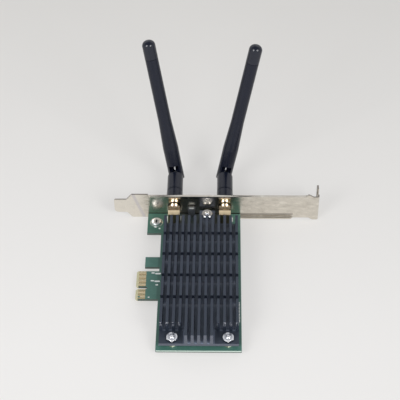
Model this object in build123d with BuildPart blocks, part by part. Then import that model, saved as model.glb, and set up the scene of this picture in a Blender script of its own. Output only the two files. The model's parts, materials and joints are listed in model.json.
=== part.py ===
from build123d import *
import os
from math import cos, radians, sin

# Wireless network card for a single-lane expansion slot, lying component side up.
# The origin is on the outer face of the slot bracket, midway between the two antenna jacks,
# level with the component side of the board. +X runs along the bracket to its screw tab,
# +Y points out of the computer and +Z away from the component side. Lengths are millimetres.

# Slot bracket, standard full height
bracket_thick = 0.86
bracket_length = 120.02
bracket_width = 18.42
bracket_below_board = 3.2
bracket_tip_x = -50.05
tongue_width = 10.19
tongue_length = 7.27
taper_length = 3.05
bend_inner_radius = 0.35
outline_round = 1.0
tongue_upper_round = 1.0
tongue_lower_round = 2.4
lip_depth = 2.2
lip_corner = 1.5
top_lip_start = -30.1
bottom_lip_start = -18.5
bottom_lip_end = 55.0
tab_depth = 11.43
tab_step = 1.65
tab_step_run = 2.4
tab_flat_length = 3.4
tab_round = 2.0
tab_notch_width = 4.4
tab_notch_depth = 5.6
tab_notch_y = 3.8

# Circuit board
board_thick = 1.57
board_length = 100.95
board_width = 46.1
board_lower_edge = -22.1
board_gap = 0.4
board_corner = 0.5
ear_reach = 8.2
ear_length = 15.9
recess_length = 18.6
hook_length = 7.5
hook_slot = 3.2
connector_reach = 12.55
connector_corner = 0.7
contact_pitch = 1.0
contact_width = 0.7
contact_length = 4.05
contact_thick = 0.08
contact_shortening = 1.2
contact_end_margin = 0.25
first_group_count = 11
second_group_count = 7
key_width = 1.9
key_depth = 6.3
bevel_length = 1.35
bevel_drop = 0.45

# Screws, nuts and spacers, all of 3 mm thread
thread_radius = 1.45
thread_clearance = 0.05
hole_clearance = 0.15
screw_head_radius = 2.9
screw_head_height = 1.8
screw_head_edge = 0.6
pan_head_height = 1.1
recess_width = 0.8
recess_span = 3.0
recess_depth = 0.8
nut_across_flats = 5.75
nut_height = 1.6
nut_corner_drop = 0.45
near_nut_angle = 30.0
far_nut_angle = 0.0
screw_end_past_nut = 0.7
spacer_across_flats = 5.0
board_screw_inset = 5.1
board_screw_depth = 7.04
bracket_ear_width = 9.4
bracket_ear_margin = 4.6

# Heatsink, a finned extrusion with milled ends
sink_centre_x = 1.1
sink_gap = 2.2
sink_base_thick = 1.9
sink_far_y = -13.2
sink_near_margin = 1.5
fin_count = 13
fin_pitch = 3.41
fin_root = 1.8
fin_draft_angle = 1.2
fin_height = 7.1
long_fin_count = 5
near_corner_depth = 8.7
groove_count = 4
groove_first = 14.2
groove_pitch = 15.65
groove_width = 2.1
groove_bite = 0.3
near_nuts_x = 1.75
near_nut_spread = 29.9
near_nut_inset = 3.5
far_nut_x = 4.55
far_nut_y = -6.3
far_tab_width = 8.9
far_tab_margin = 3.6

# Electronics under the heatsink
radio_size = 12.0
radio_height = 1.0
radio_y = -52.0
amplifier_size = 5.0
amplifier_height = 0.9
amplifier_y = -24.0
memory_length = 5.0
memory_width = 4.0
memory_height = 1.5
memory_lead = 1.0
memory_lead_width = 0.45
memory_lead_pitch = 1.27
memory_lead_pairs = 4
memory_x = -12.0
memory_y = -68.0
crystal_length = 3.2
crystal_width = 2.5
crystal_height = 0.8
crystal_x = 13.0
crystal_y = -46.0
coil_size = 4.2
coil_height = 1.8
coil_corner = 0.8
coil_x = 14.5
coil_y = -68.0
chip_cap_length = 1.6
chip_cap_width = 0.8
chip_cap_height = 0.8
supply_cap_offset = 9.0
supply_cap_pitch = 2.4
supply_cap_count = 5
coupling_cap_x = -17.0
coupling_cap_y = -59.0
coupling_cap_pitch = 1.6

# Status lamp beside the bracket
lamp_x = -4.7
lamp_width = 4.1
lamp_depth = 2.4
lamp_height = 6.2
lamp_wall = 0.55
lamp_window_width = 2.8
lamp_window_depth = 1.1
lamp_floor = 1.0
lamp_axis_z = 3.6
lens_radius = 1.4
lens_rear_y = -1.5
lens_tip_y = 0.3
lens_round = 1.0
lamp_hole_clearance = 0.25
lamp_fit = 0.02

# Antenna jacks
jack_spacing = 29.7
jack_axis_z = 5.9
jack_block_width = 6.8
jack_block_front_y = -8.9
jack_block_depth = 5.1
jack_block_top = 9.1
jack_slope_drop = 2.05
jack_slope_run = 1.5
jack_foot_height = 2.4
jack_foot_rear_y = -1.6
jack_leg = 1.0
jack_leg_inset = 0.9
jack_leg_past_board = 1.0
leg_hole_radius = 0.8
barrel_radius = 3.15
barrel_end_y = 8.2
barrel_bore = 2.1
barrel_bore_floor_y = -5.6
barrel_chamfer = 0.4
bracket_hole_clearance = 0.15
insulator_end_y = 4.6
insulator_fit = 0.02
centre_pin_radius = 0.45
centre_pin_end_y = 7.4
washer_radius = 4.4
washer_thick = 0.6
jack_nut_flats = 8.0
jack_nut_height = 2.0
jack_thread_clearance = 0.05

# Antennas
collar_radius = 4.7
collar_rim_radius = 4.9
collar_near_y = 3.0
collar_end_y = 10.5
collar_wall = 1.1
collar_edge = 0.35
coupling_radius = 3.85
coupling_end_y = 8.3
coupling_fit = 0.02
swivel_radius = 4.65
swivel_start_y = 10.8
swivel_end_y = 23.55
swivel_edge = 0.3
stem_radius = 2.45
stem_clearance = 0.05
stem_flange_radius = 3.45
stem_flange_start_y = 8.5
stem_flange_end_y = 9.3
socket_radius = 0.9
socket_bore = 0.5
socket_start_y = 5.2
hinge_y = 28.35
lugs_width = 5.3
lugs_gap = 2.6
lug_radius = 2.7
hinge_pin_radius = 1.0
hinge_pin_clearance = 0.05
hinge_pin_fit = 0.02
hinge_pin_inset = 0.15
fork_gap = 5.6
fork_top = 5.2
fork_floor = 1.6
whip_length = 84.3
whip_root_radius = 4.5
whip_swell_radius = 4.6
whip_swell_height = 16.0
whip_neck_radius = 3.85
whip_neck_height = 34.0
whip_top_radius = 3.8
whip_bore = 2.2
cap_length = 11.4
cap_radius = 3.86
cap_round = 3.3
cap_edge = 0.25
cap_spigot = 3.0
cap_fit = 0.03
feed_radius = 0.65
feed_clearance = 0.05
feed_start = 1.5
sleeve_fit = 0.04
sleeve_wall = 0.35
sleeve_top_gap = 1.0
left_swivel_angle = -10.95
left_tilt_angle = 71.0
right_swivel_angle = 12.6
right_tilt_angle = 75.0

# Values that follow from the driving dimensions
bracket_low_z = -bracket_below_board
bracket_high_z = bracket_low_z + bracket_width
bracket_end_x = bracket_tip_x + bracket_length
bend_outer_radius = bend_inner_radius + bracket_thick
bracket_mid_z = (bracket_low_z + bracket_high_z) / 2
tongue_low_z = bracket_mid_z - tongue_width / 2
tongue_high_z = bracket_mid_z + tongue_width / 2
shoulder_x = bracket_tip_x + tongue_length
body_start_x = shoulder_x + taper_length
tab_low_z = bracket_low_z - tab_step
tab_high_z = bracket_high_z - tab_step
tab_bend_x = bracket_end_x - bend_outer_radius
tab_end_y = tab_depth - bracket_thick
step_end_x = bracket_end_x - tab_flat_length
step_start_x = step_end_x - tab_step_run
top_lip_end = step_start_x - outline_round

board_far_y = -bracket_thick - board_gap
board_near_y = board_far_y - board_length
board_upper_edge = board_lower_edge + board_width
ear_edge = board_lower_edge - ear_reach
board_screw_x = ear_edge + board_screw_inset
board_screw_y = board_far_y - board_screw_depth
connector_edge = board_lower_edge - connector_reach
ear_end_y = board_far_y - ear_length
hook_start_y = ear_end_y - recess_length
hook_end_y = hook_start_y - hook_length
connector_start_y = hook_end_y - hook_slot
first_group_length = first_group_count * contact_pitch + contact_end_margin
second_group_length = second_group_count * contact_pitch + contact_end_margin
key_start_y = connector_start_y - first_group_length
key_end_y = key_start_y - key_width
key_round_x = connector_edge + key_depth - key_width / 2
connector_end_y = key_end_y - second_group_length
contact_start_x = connector_edge + bevel_length
contact_end_x = contact_start_x + contact_length

nut_radius = nut_across_flats / 2 / cos(radians(30))
sink_width = (fin_count - 1) * fin_pitch + fin_root
sink_low_x = sink_centre_x - sink_width / 2
sink_high_x = sink_centre_x + sink_width / 2
sink_base_z = sink_gap + sink_base_thick
sink_top_z = sink_base_z + fin_height
sink_near_y = board_near_y + sink_near_margin
sink_flat_y = sink_near_y + near_corner_depth
far_tab_edge_y = far_nut_y + far_tab_margin
far_tab_low_x = far_nut_x - far_tab_width / 2
far_tab_high_x = far_nut_x + far_tab_width / 2
long_fins_half = long_fin_count * fin_pitch / 2
near_nut_y = sink_near_y + near_nut_inset
nut_angles = {
    (near_nuts_x - near_nut_spread / 2, near_nut_y): near_nut_angle,
    (near_nuts_x + near_nut_spread / 2, near_nut_y): near_nut_angle,
    (far_nut_x, far_nut_y): far_nut_angle,
}
sink_screw_points = list(nut_angles)
hole_radius = thread_radius + hole_clearance
thread_hole_radius = thread_radius + thread_clearance
sink_screw_top = sink_base_z + nut_height + screw_end_past_nut

jack_places = {"left": -jack_spacing / 2, "right": jack_spacing / 2}
jack_block_rear_y = jack_block_front_y + jack_block_depth
leg_low_z = -board_thick - jack_leg_past_board
leg_offset_x = jack_block_width / 2 - jack_leg_inset
leg_rows_y = (jack_block_front_y + jack_leg_inset, jack_foot_rear_y - jack_leg_inset)
lamp_front_y = lens_rear_y - lamp_depth
lamp_low_x = lamp_x - lamp_width / 2
lamp_high_x = lamp_x + lamp_width / 2
lens_half_width = lamp_width / 2 - lamp_wall
lens_front_y = lamp_front_y + lamp_wall
lamp_roof_z = lamp_height - lamp_wall
antenna_angles = {
    "left": (left_swivel_angle, left_tilt_angle),
    "right": (right_swivel_angle, right_tilt_angle),
}
whip_joint = whip_length - cap_length
bore_start = fork_top + fork_floor
sleeve_radius = whip_bore - sleeve_fit
sleeve_end = whip_joint - cap_spigot - sleeve_top_gap
cut_margin = 1.0

os.makedirs("parts", exist_ok=True)


def span(x_low, x_high, y_low, y_high, mode=Mode.ADD):
    """Draw a rectangle between two x and two y values of the sketch."""
    with Locations(((x_low + x_high) / 2, (y_low + y_high) / 2)):
        Rectangle(x_high - x_low, y_high - y_low, mode=mode)


def block(x_span, y_span, z_span, mode=Mode.ADD):
    """Make a box between pairs of x, y and z values."""
    middle = [(low + high) / 2 for low, high in (x_span, y_span, z_span)]
    with Locations(tuple(middle)):
        Box(x_span[1] - x_span[0], y_span[1] - y_span[0], z_span[1] - z_span[0], mode=mode)


def save(piece, name):
    """Label a finished piece and write its file."""
    piece.part.label = name
    export_step(piece.part, f"parts/{name}.step")


# Circuit board: main field, bracket ear, hook and bevelled edge connector with its key slot
with BuildPart() as circuit_board:
    with BuildSketch(Plane.XY.offset(-board_thick)) as board_outline:
        span(board_lower_edge, board_upper_edge, board_near_y, board_far_y)
        span(ear_edge, board_lower_edge, ear_end_y, board_far_y)
        span(ear_edge, board_lower_edge, hook_end_y, hook_start_y)
        span(connector_edge, board_lower_edge, connector_end_y, connector_start_y)
        span(connector_edge, key_round_x, key_end_y, key_start_y, Mode.SUBTRACT)
        with Locations((key_round_x, (key_start_y + key_end_y) / 2)):
            Circle(key_width / 2, mode=Mode.SUBTRACT)
        chamfer(board_outline.vertices().group_by(Axis.X)[0], connector_corner)
        fillet(board_outline.vertices().group_by(Axis.Y)[0], board_corner)
        with Locations((board_screw_x, board_screw_y), *sink_screw_points):
            Circle(hole_radius, mode=Mode.SUBTRACT)
        for jack_x in jack_places.values():
            for leg_y in leg_rows_y:
                with Locations((jack_x - leg_offset_x, leg_y), (jack_x + leg_offset_x, leg_y)):
                    Circle(leg_hole_radius, mode=Mode.SUBTRACT)
    extrude(amount=board_thick)
    with BuildSketch(Plane.XZ.offset(-connector_start_y)):
        for face_z, drop in ((0, -bevel_drop), (-board_thick, bevel_drop)):
            with BuildLine():
                Polyline(
                    (connector_edge, face_z),
                    (connector_edge + bevel_length, face_z),
                    (connector_edge, face_z + drop),
                    close=True,
                )
            make_face()
    extrude(amount=connector_start_y - connector_end_y, mode=Mode.SUBTRACT)
save(circuit_board, "circuit_board")

# Gold contacts on both faces of the connector, the short presence contact second from the end or first
contact_rows = []
for group_start, count in ((connector_start_y, first_group_count), (key_end_y, second_group_count)):
    end_gap = (contact_end_margin + contact_pitch) / 2
    contact_rows += [group_start - end_gap - place * contact_pitch for place in range(count)]
contact_sides = (
    ("edge_contacts_top", 0, contact_rows[-2]),
    ("edge_contacts_bottom", -board_thick - contact_thick, contact_rows[0]),
)
for contact_name, contact_low_z, short_row in contact_sides:
    with BuildPart() as edge_contacts:
        for row in contact_rows:
            row_start_x = contact_start_x + (contact_shortening if row == short_row else 0)
            block(
                (row_start_x, contact_end_x),
                (row - contact_width / 2, row + contact_width / 2),
                (contact_low_z, contact_low_z + contact_thick),
            )
    save(edge_contacts, contact_name)

# Bracket: flat outline, folded screw tab, two stiffening lips and the ear under the board
with BuildPart() as bracket:
    with BuildSketch(Plane.XZ) as bracket_outline:
        with BuildLine():
            Polyline(
                (bracket_tip_x, tongue_low_z),
                (shoulder_x, tongue_low_z),
                (body_start_x, bracket_low_z),
                (step_start_x, bracket_low_z),
                (step_end_x, tab_low_z),
                (tab_bend_x, tab_low_z),
                (tab_bend_x, tab_high_z),
                (step_end_x, tab_high_z),
                (step_start_x, bracket_high_z),
                (body_start_x, bracket_high_z),
                (shoulder_x, tongue_high_z),
                (bracket_tip_x, tongue_high_z),
                close=True,
            )
        make_face()
        fillet(bracket_outline.vertices().filter_by(lambda v: shoulder_x <= v.X < tab_bend_x), outline_round)
        fillet(bracket_outline.vertices().group_by(Axis.X)[0].sort_by(Axis.Y)[-1], tongue_upper_round)
        fillet(bracket_outline.vertices().group_by(Axis.X)[0].sort_by(Axis.Y)[0], tongue_lower_round)
        with Locations(*[(jack_x, jack_axis_z) for jack_x in jack_places.values()]):
            Circle(barrel_radius + bracket_hole_clearance, mode=Mode.SUBTRACT)
        with Locations((lamp_x, lamp_axis_z)):
            Circle(lens_radius + lamp_hole_clearance, mode=Mode.SUBTRACT)
        top_bend_z = bracket_high_z - bend_outer_radius
        bottom_bend_z = bracket_low_z + bend_outer_radius
        span(top_lip_start, top_lip_end, top_bend_z, bracket_high_z, Mode.SUBTRACT)
        span(bottom_lip_start, bottom_lip_end, bracket_low_z, bottom_bend_z, Mode.SUBTRACT)
    extrude(amount=bracket_thick)
    lips = (
        (bracket_high_z, 1, top_lip_start, top_lip_end),
        (bracket_low_z, -1, bottom_lip_start, bottom_lip_end),
    )
    for edge_z, side, lip_start, lip_end in lips:
        with BuildSketch(Plane.YZ.offset(lip_start)):
            bend_centre = (-bend_outer_radius, edge_z - side * bend_outer_radius)
            inner_z = edge_z - side * bracket_thick
            with BuildLine():
                CenterArc(bend_centre, bend_outer_radius, 0, side * 90)
                Polyline(
                    (-bend_outer_radius, edge_z),
                    (-lip_depth, edge_z),
                    (-lip_depth, inner_z),
                    (-bend_outer_radius, inner_z),
                )
                CenterArc(bend_centre, bend_inner_radius, side * 90, -side * 90)
                Line((-bracket_thick, bend_centre[1]), (0, bend_centre[1]))
            make_face()
        extrude(amount=lip_end - lip_start)
        with BuildSketch(Plane.XY.offset(edge_z)):
            for corner_x, run in ((lip_start, lip_corner), (lip_end, -lip_corner)):
                with BuildLine():
                    Polyline(
                        (corner_x, -bracket_thick),
                        (corner_x + run, -lip_depth),
                        (corner_x, -lip_depth),
                        close=True,
                    )
                make_face()
        extrude(amount=-side * bend_outer_radius, mode=Mode.SUBTRACT)
    with BuildSketch(Plane.XY.offset(tab_low_z)):
        tab_centre = (tab_bend_x, bend_inner_radius)
        with BuildLine():
            CenterArc(tab_centre, bend_outer_radius, -90, 90)
            Polyline(
                (bracket_end_x, bend_inner_radius),
                (bracket_end_x, tab_end_y),
                (bracket_end_x - bracket_thick, tab_end_y),
                (bracket_end_x - bracket_thick, bend_inner_radius),
            )
            CenterArc(tab_centre, bend_inner_radius, 0, -90)
            Line((tab_bend_x, 0), (tab_bend_x, -bracket_thick))
        make_face()
    extrude(amount=bracket_width)
    fillet(bracket.edges().filter_by(Axis.X).group_by(Axis.Y)[-1], tab_round)
    with BuildSketch(Plane.YZ.offset(bracket_end_x)):
        notch_centre_z = tab_high_z - tab_notch_depth + tab_notch_width / 2
        with Locations((tab_notch_y, notch_centre_z)):
            Circle(tab_notch_width / 2)
        notch_low_y = tab_notch_y - tab_notch_width / 2
        span(notch_low_y, notch_low_y + tab_notch_width, notch_centre_z, tab_high_z + cut_margin)
    extrude(amount=-bracket_thick, mode=Mode.SUBTRACT)
    with BuildSketch(Plane.XY.offset(-board_thick - bracket_thick)) as ear_outline:
        ear_half = bracket_ear_width / 2
        ear_tip_y = board_screw_y - bracket_ear_margin
        span(board_screw_x - ear_half, board_screw_x + ear_half, ear_tip_y, -bracket_thick)
        fillet(ear_outline.vertices().group_by(Axis.Y)[0], outline_round)
        with Locations((board_screw_x, board_screw_y)):
            Circle(thread_hole_radius, mode=Mode.SUBTRACT)
    extrude(amount=bracket_thick)
save(bracket, "bracket")

# Board screw: domed head with a cross recess, threaded into the bracket ear
with BuildPart() as bracket_screw:
    with Locations((board_screw_x, board_screw_y, pan_head_height / 2)):
        Cylinder(screw_head_radius, pan_head_height)
    fillet(bracket_screw.edges().sort_by(Axis.Z)[-1], pan_head_height / 2)
    shank_length = board_thick + bracket_thick
    with Locations((board_screw_x, board_screw_y, -shank_length / 2)):
        Cylinder(thread_radius, shank_length)
    with BuildSketch(Plane.XY.offset(pan_head_height)):
        with Locations((board_screw_x, board_screw_y)):
            Rectangle(recess_span, recess_width)
            Rectangle(recess_width, recess_span)
    extrude(amount=-recess_depth, mode=Mode.SUBTRACT)
save(bracket_screw, "bracket_screw")

# Heatsink: the extruded section first, then the milled ends, cross grooves and screw holes
with BuildPart() as heatsink:
    with BuildSketch(Plane.XZ.offset(-far_tab_edge_y)):
        span(sink_low_x, sink_high_x, sink_gap, sink_base_z)
        with Locations((sink_centre_x, sink_base_z)):
            with GridLocations(fin_pitch, fin_pitch, fin_count, 1):
                Trapezoid(fin_root, fin_height, 90 - fin_draft_angle, align=(Align.CENTER, Align.MIN))
    extrude(amount=far_tab_edge_y - sink_near_y)
    far_end = (sink_far_y, far_tab_edge_y + cut_margin)
    above_base = (sink_base_z, sink_top_z + cut_margin)
    full_height = (sink_gap - cut_margin, sink_top_z + cut_margin)
    outer_low = (sink_low_x - cut_margin, sink_centre_x - long_fins_half)
    outer_high = (sink_centre_x + long_fins_half, sink_high_x + cut_margin)
    full_width = (outer_low[0], outer_high[1])
    near_end = (sink_near_y - cut_margin, sink_flat_y)
    groove_height = (sink_base_z - groove_bite, sink_top_z + cut_margin)
    block((full_width[0], far_tab_low_x), far_end, full_height, Mode.SUBTRACT)
    block((far_tab_high_x, full_width[1]), far_end, full_height, Mode.SUBTRACT)
    block(full_width, far_end, above_base, Mode.SUBTRACT)
    block(outer_low, near_end, above_base, Mode.SUBTRACT)
    block(outer_high, near_end, above_base, Mode.SUBTRACT)
    for groove in range(groove_count):
        groove_y = sink_far_y - groove_first - groove * groove_pitch
        groove_span = (groove_y - groove_width / 2, groove_y + groove_width / 2)
        block(full_width, groove_span, groove_height, Mode.SUBTRACT)
    with BuildSketch(Plane.XY.offset(sink_gap)):
        with Locations(*sink_screw_points):
            Circle(hole_radius)
    extrude(amount=sink_base_thick, mode=Mode.SUBTRACT)
save(heatsink, "heatsink")

# Hexagon spacers that hold the heatsink off the board
with BuildPart() as heatsink_spacers:
    with BuildSketch():
        with Locations(*sink_screw_points):
            RegularPolygon(spacer_across_flats / 2, 6, major_radius=False, rotation=near_nut_angle)
            Circle(hole_radius, mode=Mode.SUBTRACT)
    extrude(amount=sink_gap)
save(heatsink_spacers, "heatsink_spacers")

# Heatsink screws: heads under the board, rounded ends past the nuts
with BuildPart() as heatsink_screws:
    with BuildSketch(Plane.XY.offset(-board_thick - screw_head_height)):
        with Locations(*sink_screw_points):
            Circle(screw_head_radius)
    extrude(amount=screw_head_height)
    chamfer(heatsink_screws.edges().group_by(Axis.Z)[0], screw_head_edge)
    with BuildSketch(Plane.XY.offset(-board_thick)):
        with Locations(*sink_screw_points):
            Circle(thread_radius)
    extrude(amount=board_thick + sink_screw_top)
    fillet(heatsink_screws.edges().group_by(Axis.Z)[-1], screw_end_past_nut)
    with BuildSketch(Plane.XY.offset(-board_thick - screw_head_height)):
        with Locations(*sink_screw_points):
            Rectangle(recess_span, recess_width)
            Rectangle(recess_width, recess_span)
    extrude(amount=recess_depth, mode=Mode.SUBTRACT)
save(heatsink_screws, "heatsink_screws")

# Heatsink nuts: hexagons with turned-off upper corners
with BuildPart() as heatsink_nuts:
    with BuildSketch(Plane.XY.offset(sink_base_z)):
        for nut_point, nut_angle in nut_angles.items():
            with Locations(nut_point):
                RegularPolygon(nut_radius, 6, rotation=nut_angle)
                Circle(thread_hole_radius, mode=Mode.SUBTRACT)
    extrude(amount=nut_height)
    for nut_x, nut_y in nut_angles:
        with BuildSketch(Plane.XZ.offset(-nut_y)):
            with BuildLine():
                Polyline(
                    (nut_x + nut_radius - nut_corner_drop, sink_base_z + nut_height),
                    (nut_x + nut_radius, sink_base_z + nut_height),
                    (nut_x + nut_radius, sink_base_z + nut_height - nut_corner_drop),
                    close=True,
                )
            make_face()
        revolve(axis=Axis((nut_x, nut_y, 0), (0, 0, 1)), mode=Mode.SUBTRACT)
save(heatsink_nuts, "heatsink_nuts")

# Chips under the heatsink, each hot one with a soft pad up to the metal
hot_chips = [(sink_centre_x, radio_y, radio_size, radio_height)]
hot_chips += [(jack_x, amplifier_y, amplifier_size, amplifier_height) for jack_x in jack_places.values()]
with BuildPart() as radio_chip:
    with BuildSketch():
        with Locations((sink_centre_x, radio_y)):
            Rectangle(radio_size, radio_size)
    extrude(amount=radio_height)
save(radio_chip, "radio_chip")

with BuildPart() as amplifier_chips:
    with BuildSketch():
        with Locations(*[(jack_x, amplifier_y) for jack_x in jack_places.values()]):
            Rectangle(amplifier_size, amplifier_size)
    extrude(amount=amplifier_height)
save(amplifier_chips, "amplifier_chips")

with BuildPart() as thermal_pads:
    for chip_x, chip_y, chip_size, chip_height in hot_chips:
        with BuildSketch(Plane.XY.offset(chip_height)):
            with Locations((chip_x, chip_y)):
                Rectangle(chip_size, chip_size)
        extrude(amount=sink_gap - chip_height)
save(thermal_pads, "thermal_pads")

with BuildPart() as memory_chip:
    with Locations((memory_x, memory_y, memory_height / 2)):
        Box(memory_length, memory_width, memory_height)
    lead_span = memory_width + 2 * memory_lead
    with Locations((memory_x, memory_y, memory_lead_width / 2)):
        with GridLocations(memory_lead_pitch, lead_span, memory_lead_pairs, 1):
            Box(memory_lead_width, lead_span, memory_lead_width)
save(memory_chip, "memory_chip")

with BuildPart() as crystal:
    with Locations((crystal_x, crystal_y, crystal_height / 2)):
        Box(crystal_length, crystal_width, crystal_height)
    fillet(crystal.edges().filter_by(Axis.Z), crystal_height / 2)
save(crystal, "crystal")

with BuildPart() as power_inductor:
    with Locations((coil_x, coil_y, coil_height / 2)):
        Box(coil_size, coil_size, coil_height)
    chamfer(power_inductor.edges().filter_by(Axis.Z), coil_corner)
save(power_inductor, "power_inductor")

with BuildPart() as supply_capacitors:
    with Locations((sink_centre_x, radio_y, chip_cap_height / 2)):
        with GridLocations(2 * supply_cap_offset, supply_cap_pitch, 2, supply_cap_count):
            Box(chip_cap_length, chip_cap_width, chip_cap_height)
save(supply_capacitors, "supply_capacitors")

with BuildPart() as coupling_capacitors:
    with Locations((coupling_cap_x, coupling_cap_y, chip_cap_height / 2)):
        with GridLocations(coupling_cap_pitch, coupling_cap_pitch, 1, 2):
            Box(chip_cap_length, chip_cap_width, chip_cap_height)
save(coupling_capacitors, "coupling_capacitors")

# Status lamp: black holder open at its rear with a window in its roof, and the clear lamp inside
with BuildPart() as led_housing:
    block((lamp_low_x, lamp_high_x), (lamp_front_y, lens_rear_y), (0, lamp_height))
    lens_pocket = (lamp_x - lens_half_width, lamp_x + lens_half_width)
    block(lens_pocket, (lens_front_y, lens_rear_y), (lamp_floor, lamp_roof_z), Mode.SUBTRACT)
    roof_window = (lamp_x - lamp_window_width / 2, lamp_x + lamp_window_width / 2)
    window_rear_y = lens_front_y + lamp_window_depth
    block(roof_window, (lens_front_y, window_rear_y), (lamp_floor, lamp_height), Mode.SUBTRACT)
save(led_housing, "led_housing")

with BuildPart() as led_lens:
    lens_body = (lens_pocket[0] + lamp_fit, lens_pocket[1] - lamp_fit)
    block(lens_body, (lens_front_y + lamp_fit, lens_rear_y), (lamp_floor, lamp_roof_z - lamp_fit))
    lens_ridge = (roof_window[0] + lamp_fit, roof_window[1] - lamp_fit)
    block(lens_ridge, (lens_front_y + lamp_fit, window_rear_y - lamp_fit), (lamp_floor, lamp_height))
    with BuildSketch(Plane.XZ.offset(-lens_rear_y)):
        with Locations((lamp_x, lamp_axis_z)):
            Circle(lens_radius)
    extrude(amount=lens_rear_y - lens_tip_y)
    fillet(led_lens.edges().group_by(Axis.Y)[-1], lens_round)
save(led_lens, "led_lens")

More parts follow.
